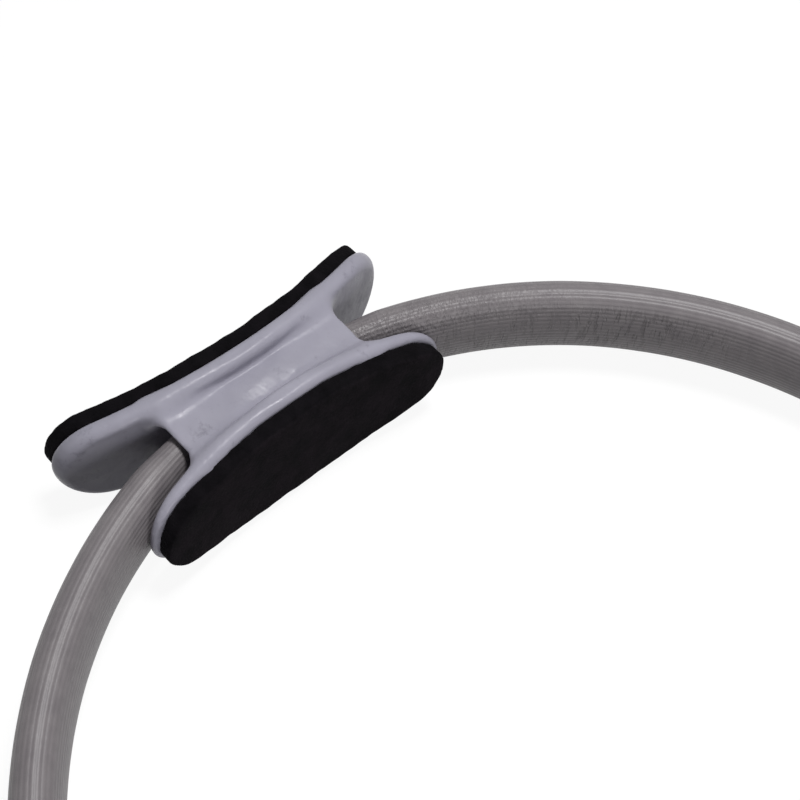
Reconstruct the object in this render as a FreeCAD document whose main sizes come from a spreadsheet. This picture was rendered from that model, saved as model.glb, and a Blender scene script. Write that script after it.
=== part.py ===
import FreeCAD, Part
import math
import os
from types import SimpleNamespace

import Sketcher

# Pilates ring lying flat: the hoop is centred on the origin, its axis is Z, and the two handles sit
# on the X axis, handle a at +X and handle b at -X. All lengths are millimetres.
# The springy hoop is cut into stiff links that turn on upright hinge lines, three links on each side.
# Handle b and the far-side links are the near ones turned by half a turn about Z.

SIZES = [
    # hoop
    ("ring_radius", 180.0, "centre of the hoop to the middle of the sleeve"),
    ("sleeve_width", 17.4, "foam sleeve, across the hoop"),
    ("sleeve_height", 31.8, "foam sleeve, along the hoop's axis"),
    ("sleeve_end_radius", 7.4, "rounding of the sleeve's upper and lower edges"),
    ("strip_thickness", 3.0, "glass-fibre strip inside the sleeve"),
    ("strip_height", 20.0, "glass-fibre strip, along the hoop's axis"),
    ("strip_fit", 0.15, "clearance all round the strip"),
    ("knuckle_radius", 10.3, "round end of a link, about its hinge line"),
    ("knuckle_gap", 0.3, "clearance round a knuckle"),
    # handle
    ("mouth_offset", 39.0, "handle centre to the mouth, where the end hinge line stands"),
    ("flange_width", 50.0, "both flanges, along the hoop's axis"),
    ("flange_thickness", 7.5, "both flanges at their middle"),
    ("outer_length", 148.0, "outer flange, end to end"),
    ("outer_end_radius", 20.0, "outer flange outline, at its ends"),
    ("outer_seat", 11.7, "sleeve middle to the outer pad's seat, at the handle's middle"),
    ("outer_face_radius", 189.0, "hollow of the outer pad's seat"),
    ("outer_tip_thickness", 8.0, "outer flange at its ends"),
    ("inner_length", 132.0, "inner flange, end to end"),
    ("inner_end_radius", 19.0, "inner flange outline, at its ends"),
    ("inner_seat", 20.0, "sleeve middle to the inner pad's seat, at the handle's middle"),
    ("inner_face_radius", 370.0, "hollow of the inner pad's seat"),
    ("inner_tip_thickness", 3.4, "inner flange at its ends"),
    ("rim_radius", 2.0, "rounding of the flange rims"),
    ("rest_depth", 0.3, "depth of the small flats that the rims rest on"),
    ("collar_height", 36.0, "waist collar at its crown, along the hoop's axis"),
    ("crown_radius", 45.0, "curve of the collar's crown"),
    ("crease_radius", 2.0, "fillet between the collar and a flange"),
    ("lip_radius", 1.2, "rounding of the collar's mouths"),
    ("socket_headroom", 0.5, "clearance above and below the sleeve in its socket"),
    # pads
    ("pad_inset", 1.8, "flange outline to pad outline"),
    ("pad_thickness", 7.0, "foam pad"),
    ("pad_edge_radius", 2.6, "rounding of the pad's front edge"),
    ("glue_line", 0.15, "glue between a pad and its seat"),
    # fasteners
    ("screw_diameter", 3.0, "self-tapping shell screw"),
    ("screw_pilot", 2.6, "hole that the screw cuts its thread in"),
    ("screw_clearance", 3.4, "hole that the screw passes through"),
    ("screw_grip", 8.0, "thread inside the outer shell"),
    ("screw_head_diameter", 6.0, "pan head"),
    ("screw_head_height", 2.0, "pan head"),
    ("screw_sink", 3.2, "depth of the sunk hole for the head"),
    ("screw_sink_diameter", 6.8, "sunk hole for the head"),
    ("screw_spacing_along", 40.0, "between screws, along the handle"),
    ("screw_spacing_up", 28.8, "between screws, along the hoop's axis"),
    ("splice_length", 36.0, "steel plate across the joint of the two strips"),
    ("splice_height", 16.0, "steel plate, along the hoop's axis"),
    ("splice_thickness", 1.2, "steel plate"),
    ("splice_fit", 0.05, "between the plate and the strips"),
    ("splice_gap", 0.6, "between the two strip ends"),
    ("rivet_diameter", 4.0, "splice rivet"),
    ("rivet_fit", 0.1, "clearance round a rivet"),
    ("rivet_head_diameter", 6.0, "splice rivet"),
    ("rivet_head_height", 1.0, "splice rivet"),
    ("rivet_pitch", 9.5, "between rivets, along the strip"),
    ("splice_relief", 0.4, "clearance over the splice plate and the rivet heads"),
]

LINKS_PER_SIDE = 3  # stiff links between the two handles, on each side
HANDLES = {"a": "0 deg", "b": "180 deg"}  # where each handle stands on the hoop
TOUCH = 1e-4  # how close a point lies to a face that it is on
ROUNDEST_RIM = 0.42  # share of a flange's thinnest wall that its rim's rounding may take

doc = FreeCAD.newDocument("PilatesRing")
sheet = doc.addObject("Spreadsheet::Sheet", "Sizes")
for row, (alias, value, note) in enumerate(SIZES, start=1):
    sheet.set(f"A{row}", note)
    sheet.set(f"B{row}", str(value))
    sheet.setAlias(f"B{row}", alias)
doc.recompute()

# expressions that name a cell of the sheet
size = SimpleNamespace(**{alias: f"Sizes.{alias}" for alias, _, _ in SIZES})


def number(expression):
    """The value of an expression as a plain number of millimetres or degrees."""
    value = sheet.evalExpression(str(expression).replace("Sizes.", ""))
    return float(getattr(value, "Value", value))


def sagitta(radius, half_chord):
    """How far an arc of this radius bows over a chord."""
    return f"({radius} - sqrt(({radius})^2 - ({half_chord})^2))"


def flange_back(length, face_radius, tip_thickness):
    """The radius of a flange's back that leaves this wall at the flange's ends."""
    half_length = f"({length} / 2)"
    bow = f"({size.flange_thickness} + {sagitta(face_radius, half_length)} - {tip_thickness})"
    return f"(({half_length}^2 + {bow}^2) / (2 * {bow}))"


# places that several pieces share
MOUTH_ANGLE = f"asin({size.mouth_offset} / {size.ring_radius})"
LINK_ANGLE = f"((180 deg - 2 * {MOUTH_ANGLE}) / {LINKS_PER_SIDE})"
MOUTH_X = f"sqrt({size.ring_radius}^2 - {size.mouth_offset}^2)"
SOCKET_RADIUS = f"({size.knuckle_radius} + {size.knuckle_gap})"
SOCKET_HEIGHT = f"({size.sleeve_height} + 2 * {size.socket_headroom})"
SPLIT_X = f"({size.ring_radius} + ({size.outer_seat} - {size.inner_seat}) / 2)"
HALF_WIDTH = f"({size.flange_width} / 2)"
CHANNEL_THICKNESS = f"({size.strip_thickness} + 2 * {size.strip_fit})"
CHANNEL_HEIGHT = f"({size.strip_height} + 2 * {size.strip_fit})"
STRIP_OUTER = f"({size.ring_radius} + {size.strip_thickness} / 2)"
STRIP_INNER = f"({size.ring_radius} - {size.strip_thickness} / 2)"
PLATE_OUTER = f"({STRIP_INNER} - {size.splice_fit})"
PLATE_INNER = f"({PLATE_OUTER} - {size.splice_thickness})"
RIVET_ANGLE = f"(2 * asin({size.rivet_pitch} / (2 * {size.ring_radius})))"
FIRST_RIVET = f"(1.5 * {RIVET_ANGLE})"
SPLICE_ANGLE = f"asin({size.splice_length} / (2 * {size.ring_radius}))"
HEAD_SEAT_X = f"({size.ring_radius} - {size.inner_seat} + {size.screw_sink})"

OUTER = SimpleNamespace(
    side=1, seat=size.outer_seat, length=size.outer_length, end_radius=size.outer_end_radius,
    face_radius=size.outer_face_radius, tip_thickness=size.outer_tip_thickness,
    back_radius=flange_back(size.outer_length, size.outer_face_radius, size.outer_tip_thickness),
)
INNER = SimpleNamespace(
    side=-1, seat=size.inner_seat, length=size.inner_length, end_radius=size.inner_end_radius,
    face_radius=size.inner_face_radius, tip_thickness=size.inner_tip_thickness,
    back_radius=flange_back(size.inner_length, size.inner_face_radius, size.inner_tip_thickness),
)


def origin_feature(body, role):
    return next(f for f in body.Origin.OriginFeatures if f.Role == role)


def new_sketch(body, name, plane, lift=None, turn=None):
    """A sketch on one of the body's origin planes, lifted along its normal or turned about it."""
    sketch = body.newObject("Sketcher::SketchObject", name)
    sketch.AttachmentSupport = [(origin_feature(body, plane), "")]
    sketch.MapMode = "FlatFace"
    if lift is not None:
        sketch.setExpression("AttachmentOffset.Base.z", lift)
    if turn is not None:
        sketch.AttachmentOffset = FreeCAD.Placement(
            FreeCAD.Vector(), FreeCAD.Rotation(FreeCAD.Vector(0, 0, 1), number(turn))
        )
        sketch.setExpression("AttachmentOffset.Rotation.Angle", turn)
    return sketch


def bind(sketch, constraint, expression):
    index = sketch.addConstraint(constraint)
    sketch.setExpression(f"Constraints[{index}]", expression)


def outline(sketch, corners):
    """A closed outline. A corner is (x, y) or (x, y, radius, side) where the edge that leaves it is an
    arc whose centre lies on the left or right of the way to the next corner."""
    points = [FreeCAD.Vector(number(c[0]), number(c[1]), 0) for c in corners]
    first = sketch.GeometryCount
    count = len(corners)
    for i, corner in enumerate(corners):
        start, end = points[i], points[(i + 1) % count]
        if len(corner) == 2:
            sketch.addGeometry(Part.LineSegment(start, end))
            continue
        radius, turn = number(corner[2]), 1 if corner[3] == "left" else -1
        along = end - start
        normal = FreeCAD.Vector(-along.y, along.x, 0).normalize() * turn
        centre = (start + end) * 0.5 + normal * (radius**2 - along.Length**2 / 4) ** 0.5
        middle = centre - normal * radius
        sketch.addGeometry(Part.Arc(start, middle, end))
    # an arc keeps its ends in anticlockwise order, so a clockwise edge starts at its end point
    starts = [2 if len(c) == 4 and c[3] == "right" else 1 for c in corners]
    for i, corner in enumerate(corners):
        edge, following = first + i, first + (i + 1) % count
        sketch.addConstraint(
            Sketcher.Constraint("Coincident", edge, 3 - starts[i], following, starts[(i + 1) % count])
        )
        x, y = number(corner[0]), number(corner[1])
        bind(sketch, Sketcher.Constraint("DistanceX", -1, 1, edge, starts[i], x), corner[0])
        bind(sketch, Sketcher.Constraint("DistanceY", -1, 1, edge, starts[i], y), corner[1])
        if len(corner) == 4:
            bind(sketch, Sketcher.Constraint("Radius", edge, number(corner[2])), corner[2])


def circle(sketch, x, y, radius):
    centre = FreeCAD.Vector(number(x), number(y), 0)
    index = sketch.addGeometry(Part.Circle(centre, FreeCAD.Vector(0, 0, 1), number(radius)))
    bind(sketch, Sketcher.Constraint("DistanceX", -1, 1, index, 3, centre.x), x)
    bind(sketch, Sketcher.Constraint("DistanceY", -1, 1, index, 3, centre.y), y)
    bind(sketch, Sketcher.Constraint("Radius", index, number(radius)), radius)


def rectangle(sketch, x0, y0, x1, y1):
    outline(sketch, [(x0, y0), (x1, y0), (x1, y1), (x0, y1)])


def oval_side_radius(half_long, half_short, end_radius):
    """The radius of the wide arcs that join an oval's two end arcs smoothly."""
    return (
        f"((({half_short})^2 + ({half_long} - {end_radius})^2 - ({end_radius})^2)"
        f" / (2 * ({half_short} - {end_radius})))"
    )


def oval(sketch, half_long, half_short, end_radius, upright_at=None):
    """Four tangent arcs: two small ones at the ends and two wide ones along the sides. It lies along the
    sketch's first axis about the origin, or stands upright at a place on that axis."""
    side_radius = oval_side_radius(half_long, half_short, end_radius)
    reach = f"({side_radius} / ({side_radius} - {end_radius}))"
    along = f"(({half_long} - {end_radius}) * {reach})"
    across = f"({half_short} - {side_radius} + ({side_radius} - {half_short}) * {reach})"
    if upright_at is None:
        corners = [
            (along, f"-{across}", end_radius, "left"),
            (along, across, side_radius, "left"),
            (f"-{along}", across, end_radius, "left"),
            (f"-{along}", f"-{across}", side_radius, "left"),
        ]
    else:
        corners = [
            (f"{upright_at} + {across}", f"-{along}", side_radius, "left"),
            (f"{upright_at} + {across}", along, end_radius, "left"),
            (f"{upright_at} - {across}", along, side_radius, "left"),
            (f"{upright_at} - {across}", f"-{along}", end_radius, "left"),
        ]
    outline(sketch, corners)


def extrude(body, kind, name, sketch, length, side="One side", reverse=False):
    """A Pad or Pocket of a sketch by a bound length."""
    before = body.Tip.Shape.Volume if kind == "Pocket" else 0.0
    feature = body.newObject(f"PartDesign::{kind}", name)
    feature.Profile = sketch
    feature.SideType = side
    feature.Reversed = reverse
    feature.setExpression("Length", length)
    doc.recompute()
    if kind == "Pocket" and not feature.Shape.Volume < before - 1e-6:
        raise RuntimeError(f"{body.Label}: {name} cut nothing")
    return feature


def revolve(body, kind, name, sketch, forward, backward):
    """A Revolution or Groove about Z, by one angle each way from the XZ plane."""
    feature = body.newObject(f"PartDesign::{kind}", name)
    feature.Profile = sketch
    feature.ReferenceAxis = (origin_feature(body, "Z_Axis"), [""])
    feature.Type = "TwoAngles"
    feature.setExpression("Angle", forward)
    feature.setExpression("Angle2", backward)
    doc.recompute()
    return feature


def polar_pattern(body, name, feature, step, count, clockwise=True):
    """Copies of a feature, turned about Z by one step after another."""
    pattern = body.newObject("PartDesign::PolarPattern", name)
    pattern.Originals = [feature]
    pattern.Axis = (origin_feature(body, "Z_Axis"), [""])
    pattern.Reversed = clockwise
    pattern.Occurrences = count
    pattern.setExpression("Angle", f"{step} * {count - 1}")
    body.Tip = pattern
    doc.recompute()
    return pattern


def edges_where(shape, test):
    """Names of the edges whose inner points all pass a test."""
    names = []
    for index, edge in enumerate(shape.Edges, start=1):
        if all(test(p) for p in edge.discretize(Number=7)[1:-1]):
            names.append(f"Edge{index}")
    return names


def fillet(body, name, edges, radius):
    if not edges:
        raise RuntimeError(f"{body.Label}: {name} found no edge")
    base = body.Tip
    feature = body.newObject("PartDesign::Fillet", name)
    feature.Base = (base, edges)
    feature.setExpression("Radius", radius)
    doc.recompute()
    return feature


def new_body(label, turn=None):
    """A body that is modelled in its own place and turned about Z to where it belongs."""
    body = doc.addObject("PartDesign::Body", label)
    body.Label = label
    if turn is not None:
        body.Placement = FreeCAD.Placement(
            FreeCAD.Vector(), FreeCAD.Rotation(FreeCAD.Vector(0, 0, 1), number(turn))
        )
        body.setExpression("Placement.Rotation.Angle", turn)
    return body


def radial(form, offset):
    """X of a place on a handle, from its distance to the sleeve's middle on the flange's own side."""
    sign = "+" if form.side > 0 else "-"
    return f"({size.ring_radius} {sign} ({offset}))"


def on_curve(form, offset, radius):
    """A test for points on a curved face that meets the handle's middle at this offset."""
    centre = number(radial(form, f"{offset} + {radius}"))
    radius_now = number(radius)
    return lambda p: abs(math.hypot(p.x - centre, p.y) - radius_now) < TOUCH


def on_oval(half_long, half_short, end_radius):
    """A test for points on an upright wall over an oval in Y and Z."""
    side_radius = number(oval_side_radius(half_long, half_short, end_radius))
    end_now = number(end_radius)
    end_centre = number(half_long) - end_now
    side_centre = side_radius - number(half_short)

    def test(p):
        at_end = abs(math.hypot(abs(p.y) - end_centre, p.z) - end_now) < TOUCH
        at_side = abs(math.hypot(p.y, abs(p.z) + side_centre) - side_radius) < TOUCH
        return at_end or at_side

    return test


def flange(body, form):
    """A hollow oval flange, thinner towards its ends, with its half of the waist collar."""
    half_length = f"({form.length} / 2)"
    back = f"({form.seat} - {size.flange_thickness})"
    reach = f"({half_length} + {size.rim_radius})"
    tip = f"({form.seat} + {sagitta(form.face_radius, reach)})"
    left, right = ("left", "right") if form.side > 0 else ("right", "left")

    blank = new_sketch(body, "FlangeOutline", "YZ_Plane", lift=radial(form, back))
    oval(blank, half_length, HALF_WIDTH, form.end_radius)
    extrude(body, "Pad", "FlangeBlank", blank, f"{tip} - {back}", reverse=form.side < 0)

    curve = new_sketch(body, "BackCurve", "XY_Plane")
    near = radial(form, f"{back} - {size.flange_thickness}")
    end = radial(form, f"{back} + {sagitta(form.back_radius, reach)}")
    outline(curve, [
        (near, reach), (near, f"-{reach}"), (end, f"-{reach}", form.back_radius, right), (end, reach),
    ])
    extrude(body, "Pocket", "BackHollow", curve, size.flange_width, "Symmetric")

    # the collar's section runs into the flange, and the seat's hollow then trims what stands proud
    bow = sagitta(form.face_radius, size.mouth_offset)
    far = radial(form, f"{form.seat} + {bow} - {size.flange_thickness} / 3")
    crown = f"({size.collar_height} / 2)"
    shoulder = f"({crown} - {sagitta(size.crown_radius, f'({far} - {SPLIT_X})')})"
    section = new_sketch(body, "CollarSection", "XZ_Plane")
    outline(section, [
        (SPLIT_X, f"-{crown}", size.crown_radius, left), (far, f"-{shoulder}"),
        (far, shoulder, size.crown_radius, left), (SPLIT_X, crown),
    ])
    extrude(body, "Pad", "Collar", section, f"2 * {size.mouth_offset}", "Symmetric")

    curve = new_sketch(body, "SeatCurve", "XY_Plane")
    beyond = radial(form, f"{tip} + {size.flange_thickness}")
    end = radial(form, f"{form.seat} + {sagitta(form.face_radius, reach)}")
    outline(curve, [
        (beyond, f"-{reach}"), (beyond, reach), (end, reach, form.face_radius, left), (end, f"-{reach}"),
    ])
    extrude(body, "Pocket", "SeatHollow", curve, size.flange_width, "Symmetric")

    # round the mouths, then the creases between collar and flange, then the rims
    mouth, half_crown = number(size.mouth_offset), number(crown)
    on_back = on_curve(form, back, form.back_radius)
    on_seat = on_curve(form, form.seat, form.face_radius)

    def at_collar(p):
        return abs(p.y) < mouth + TOUCH and abs(p.z) < half_crown + TOUCH

    def at_lip(p):
        return abs(abs(p.y) - mouth) < TOUCH and abs(p.z) > number(shoulder) - TOUCH and not on_back(p)

    lips = edges_where(body.Tip.Shape, at_lip)
    fillet(body, "MouthLips", lips, size.lip_radius)
    creases = edges_where(body.Tip.Shape, lambda p: on_back(p) and at_collar(p))
    fillet(body, "Creases", creases, size.crease_radius)
    on_outline = on_oval(half_length, HALF_WIDTH, form.end_radius)
    rims = edges_where(body.Tip.Shape, lambda p: on_outline(p) and (on_seat(p) or on_back(p)))
    fillet(body, "Rims", rims, f"min({size.rim_radius}; {ROUNDEST_RIM} * {form.tip_thickness})")

    flats = new_sketch(body, "RestFlats", "YZ_Plane")
    for sign in ("", "-"):
        rectangle(
            flats, f"-{reach}", f"{sign}({HALF_WIDTH} - {size.rest_depth})",
            reach, f"{sign}{size.flange_width}",
        )
    extrude(body, "Pocket", "RestFlatCut", flats, f"4 * {size.ring_radius}", "Symmetric")


def strip_slot(sketch):
    """The section of a strip with its clearance."""
    half = f"{CHANNEL_THICKNESS} / 2"
    rectangle(
        sketch, f"{size.ring_radius} - {half}", f"-{CHANNEL_HEIGHT} / 2",
        f"{size.ring_radius} + {half}", f"{CHANNEL_HEIGHT} / 2",
    )


def strip_cavity(body):
    """The channel that grips the strips, with room for the splice plate and the rivet heads."""
    channel = new_sketch(body, "StripChannel", "XZ_Plane")
    strip_slot(channel)
    revolve(body, "Groove", "StripChannelCut", channel, MOUTH_ANGLE, MOUTH_ANGLE)
    room = new_sketch(body, "SpliceRoom", "XZ_Plane")
    head_room = f"({size.rivet_head_height} + {size.rivet_fit} + {size.splice_relief})"
    half_height = f"({size.splice_height} / 2 + {size.splice_relief})"
    rectangle(
        room, f"{PLATE_INNER} - {head_room}", f"-{half_height}", f"{STRIP_OUTER} + {head_room}", half_height
    )
    room_angle = f"asin(({size.splice_length} / 2 + {size.splice_relief}) / {PLATE_INNER})"
    revolve(body, "Groove", "SpliceRoomCut", room, room_angle, room_angle)


def sockets(body):
    """Round sockets at both mouths, each about its hinge line, for the ends of the links."""
    sketch = new_sketch(body, "Sockets", "XY_Plane")
    for sign in ("", "-"):
        circle(sketch, MOUTH_X, f"{sign}{size.mouth_offset}", SOCKET_RADIUS)
    extrude(body, "Pocket", "SocketCut", sketch, SOCKET_HEIGHT, "Symmetric")


def screw_places():
    return [
        (f"{along}{size.screw_spacing_along} / 2", f"{up}{size.screw_spacing_up} / 2")
        for along in ("", "-") for up in ("", "-")
    ]


def screw_circles(sketch, diameter):
    for along, up in screw_places():
        circle(sketch, along, up, f"{diameter} / 2")


def outer_shell(label, turn):
    body = new_body(label, turn)
    flange(body, OUTER)
    sockets(body)
    strip_cavity(body)
    pilots = new_sketch(body, "ScrewPilots", "YZ_Plane", lift=SPLIT_X)
    screw_circles(pilots, size.screw_pilot)
    depth = f"{size.screw_grip} + {size.screw_diameter} / 3"
    extrude(body, "Pocket", "ScrewPilotHoles", pilots, depth, reverse=True)
    return body


def inner_shell(label, turn):
    body = new_body(label, turn)
    flange(body, INNER)
    sockets(body)
    strip_cavity(body)
    holes = new_sketch(body, "ScrewHoles", "YZ_Plane", lift=SPLIT_X)
    screw_circles(holes, size.screw_clearance)
    extrude(body, "Pocket", "ScrewThroughHoles", holes, size.inner_seat)
    sinks = new_sketch(body, "ScrewSinks", "YZ_Plane", lift=HEAD_SEAT_X)
    screw_circles(sinks, size.screw_sink_diameter)
    extrude(body, "Pocket", "ScrewSinkHoles", sinks, size.inner_seat)
    return body


def shell_screws(label, turn):
    """Four pan-head screws, driven outwards from under the inner pad."""
    body = new_body(label, turn)
    body.AllowCompound = True
    shanks = new_sketch(body, "Shanks", "YZ_Plane", lift=HEAD_SEAT_X)
    screw_circles(shanks, size.screw_diameter)
    extrude(body, "Pad", "ScrewShanks", shanks, f"{SPLIT_X} + {size.screw_grip} - {HEAD_SEAT_X}")
    heads = new_sketch(body, "Heads", "YZ_Plane", lift=HEAD_SEAT_X)
    screw_circles(heads, size.screw_head_diameter)
    extrude(body, "Pad", "ScrewHeads", heads, size.screw_head_height, reverse=True)
    head_top = number(f"{HEAD_SEAT_X} - {size.screw_head_height}")
    tops = edges_where(body.Tip.Shape, lambda p: abs(p.x - head_top) < TOUCH)
    fillet(body, "HeadEdges", tops, f"{size.screw_head_height} / 3")
    recesses = new_sketch(body, "Recesses", "YZ_Plane", lift=f"{HEAD_SEAT_X} - {size.screw_head_height}")
    for along, up in screw_places():
        arm, half = f"{size.screw_head_diameter} / 4", f"{size.screw_head_diameter} / 16"
        corners = [
            (arm, f"-{half}"), (arm, half), (half, half), (half, arm), (f"-{half}", arm), (f"-{half}", half),
            (f"-{arm}", half), (f"-{arm}", f"-{half}"), (f"-{half}", f"-{half}"), (f"-{half}", f"-{arm}"),
            (half, f"-{arm}"), (half, f"-{half}"),
        ]
        outline(recesses, [(f"{along} + ({x})", f"{up} + ({y})") for x, y in corners])
    extrude(body, "Pocket", "CrossRecesses", recesses, f"{size.screw_head_height} / 2", reverse=True)
    return body


def pad(label, turn, form):
    """A foam sheet glued into the hollow of a flange, with a rounded front edge."""
    body = new_body(label, turn)
    half_length = f"({form.length} / 2 - {size.pad_inset})"
    half_width = f"({HALF_WIDTH} - {size.pad_inset})"
    end_radius = f"({form.end_radius} - {size.pad_inset})"
    back_radius = f"({form.face_radius} - {size.glue_line})"
    front_radius = f"({back_radius} - {size.pad_thickness})"
    back = f"({form.seat} + {size.glue_line})"
    front = f"({back} + {size.pad_thickness})"
    reach = f"({half_length} + {size.pad_inset})"
    tip = f"({front} + {sagitta(front_radius, reach)})"
    left, right = ("left", "right") if form.side > 0 else ("right", "left")

    blank = new_sketch(body, "PadOutline", "YZ_Plane", lift=radial(form, back))
    oval(blank, half_length, half_width, end_radius)
    extrude(body, "Pad", "PadBlank", blank, f"{tip} - {back}", reverse=form.side < 0)

    near = radial(form, f"{back} - {size.pad_thickness}")
    end = radial(form, f"{back} + {sagitta(back_radius, reach)}")
    curve = new_sketch(body, "BackCurve", "XY_Plane")
    outline(curve, [
        (near, reach), (near, f"-{reach}"), (end, f"-{reach}", back_radius, right), (end, reach),
    ])
    extrude(body, "Pocket", "BackHollow", curve, size.flange_width, "Symmetric")

    beyond = radial(form, f"{tip} + {size.pad_thickness}")
    end = radial(form, f"{front} + {sagitta(front_radius, reach)}")
    curve = new_sketch(body, "FrontCurve", "XY_Plane")
    outline(curve, [
        (beyond, f"-{reach}"), (beyond, reach), (end, reach, front_radius, left), (end, f"-{reach}"),
    ])
    extrude(body, "Pocket", "FrontHollow", curve, size.flange_width, "Symmetric")

    edges = edges_where(body.Tip.Shape, on_curve(form, front, front_radius))
    fillet(body, "FrontEdge", edges, size.pad_edge_radius)
    return body


def nose(body, name, turn, beyond):
    """Round one end of a link about its hinge line; beyond is the sign of Y past that line."""
    sketch = new_sketch(body, name, "XY_Plane", turn=turn)
    centre, radius = size.ring_radius, size.knuckle_radius
    far = f"{beyond}2 * {radius}"
    way = "left" if beyond else "right"
    outline(sketch, [
        (f"{centre} - {radius}", "0", radius, way), (centre, f"{beyond}{radius}", radius, way),
        (f"{centre} + {radius}", "0"), (f"{centre} + 2 * {radius}", "0"),
        (f"{centre} + 2 * {radius}", far), (f"{centre} - 2 * {radius}", far),
        (f"{centre} - 2 * {radius}", "0"),
    ])
    extrude(body, "Pocket", f"{name}Cut", sketch, f"2 * {size.sleeve_height}", "Symmetric")


def link(label, turn, section, ends_in_mouth):
    """A stretch of the hoop between two hinge lines. It starts with a round end and ends with a hollow
    one for the next link, or with a second round end where it meets a handle."""
    body = new_body(label, turn)
    sketch = new_sketch(body, "Section", "XZ_Plane")
    section(sketch)
    overrun = f"(1.5 * asin({size.knuckle_radius} / {size.ring_radius}))"
    forward = f"{LINK_ANGLE} + {overrun}" if ends_in_mouth else LINK_ANGLE
    revolve(body, "Revolution", "Sweep", sketch, forward, overrun)
    nose(body, "StartNose", "0 deg", "-")
    if ends_in_mouth:
        nose(body, "EndNose", LINK_ANGLE, "")
    else:
        hollow = new_sketch(body, "EndHollow", "XY_Plane", turn=LINK_ANGLE)
        circle(hollow, size.ring_radius, "0", SOCKET_RADIUS)
        extrude(body, "Pocket", "EndHollowCut", hollow, f"2 * {size.sleeve_height}", "Symmetric")
    return body


def strip_section(sketch):
    rectangle(sketch, STRIP_INNER, f"-{size.strip_height} / 2", STRIP_OUTER, f"{size.strip_height} / 2")


def sleeve_section(sketch):
    """An upright oval with the slot that the strip lies in."""
    oval(
        sketch, f"({size.sleeve_height} / 2)", f"({size.sleeve_width} / 2)", size.sleeve_end_radius,
        upright_at=size.ring_radius,
    )
    strip_slot(sketch)


def rivet_holes(body, count, clockwise):
    """A row of holes along a strip or plate, from the rivet on the body's X axis."""
    sketch = new_sketch(body, "RivetHole", "YZ_Plane", lift=PLATE_INNER)
    circle(sketch, "0", "0", f"({size.rivet_diameter} / 2 + {size.rivet_fit})")
    depth = f"2 * ({STRIP_OUTER} - {PLATE_INNER})"
    hole = extrude(body, "Pocket", "RivetHoleCut", sketch, depth, "Symmetric")
    polar_pattern(body, "RivetHoles", hole, RIVET_ANGLE, count, clockwise)


def strip_tail(label, turn, hand):
    """The end of a strip inside a handle; hand is 1 towards +Y and -1 towards -Y. The body's X axis runs
    through the rivet next to the mouth."""
    sign = "" if hand > 0 else "-"
    body = new_body(label, f"mod({turn} + 360 deg + {sign}{FIRST_RIVET}; 360 deg)")
    sketch = new_sketch(body, "Section", "XZ_Plane")
    strip_section(sketch)
    to_mouth = f"({MOUTH_ANGLE} - {FIRST_RIVET})"
    to_middle = f"({FIRST_RIVET} - asin({size.splice_gap} / (2 * {size.ring_radius})))"
    ahead, behind = (to_mouth, to_middle) if hand > 0 else (to_middle, to_mouth)
    revolve(body, "Revolution", "Sweep", sketch, ahead, behind)
    hollow = new_sketch(body, "MouthHollow", "XY_Plane")
    circle(
        hollow, f"{size.ring_radius} * cos({to_mouth})", f"{sign}{size.ring_radius} * sin({to_mouth})",
        SOCKET_RADIUS,
    )
    extrude(body, "Pocket", "MouthHollowCut", hollow, f"2 * {size.strip_height}", "Symmetric")
    rivet_holes(body, 2, clockwise=hand > 0)
    return body


def splice_plate(label, turn):
    """A steel plate behind the two strip tails. The body's X axis runs through its first rivet."""
    body = new_body(label, f"{turn} + {FIRST_RIVET}")
    sketch = new_sketch(body, "Section", "XZ_Plane")
    rectangle(sketch, PLATE_INNER, f"-{size.splice_height} / 2", PLATE_OUTER, f"{size.splice_height} / 2")
    ahead, behind = f"{SPLICE_ANGLE} - {FIRST_RIVET}", f"{SPLICE_ANGLE} + {FIRST_RIVET}"
    revolve(body, "Revolution", "Sweep", sketch, ahead, behind)
    rivet_holes(body, 4, clockwise=True)
    return body


def splice_rivets(label, turn):
    """Four domed rivets through the plate and the strip tails."""
    body = new_body(label, f"{turn} + {FIRST_RIVET}")
    body.AllowCompound = True
    shank, head = f"({size.rivet_diameter} / 2)", f"({size.rivet_head_diameter} / 2)"
    height = size.rivet_head_height
    dome = f"((({head})^2 + ({height})^2) / (2 * {height}))"
    inner, outer = f"({PLATE_INNER} - {size.rivet_fit})", f"({STRIP_OUTER} + {size.rivet_fit})"
    profile = new_sketch(body, "Profile", "XZ_Plane")
    outline(profile, [
        (f"{inner} - {height}", "0"), (f"{outer} + {height}", "0", dome, "left"), (outer, head),
        (outer, shank), (inner, shank), (inner, head, dome, "left"),
    ])
    rivet = body.newObject("PartDesign::Revolution", "Rivet")
    rivet.Profile = profile
    rivet.ReferenceAxis = (origin_feature(body, "X_Axis"), [""])
    rivet.Angle = 360
    doc.recompute()
    polar_pattern(body, "RivetRow", rivet, RIVET_ANGLE, 4)
    return body


def handle(name, turn):
    """All pieces of one handle. Handle b is half a turn round, so its own +Y side is the right one."""
    plus_side, minus_side = ("left", "right") if name == "a" else ("right", "left")
    return [
        outer_shell(f"outer_shell_{name}", turn),
        inner_shell(f"inner_shell_{name}", turn),
        pad(f"outer_pad_{name}", turn, OUTER),
        pad(f"inner_pad_{name}", turn, INNER),
        shell_screws(f"shell_screws_{name}", turn),
        strip_tail(f"strip_tail_{plus_side}_{name}", turn, 1),
        strip_tail(f"strip_tail_{minus_side}_{name}", turn, -1),
        splice_plate(f"splice_plate_{name}", turn),
        splice_rivets(f"splice_rivets_{name}", turn),
    ]


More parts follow.
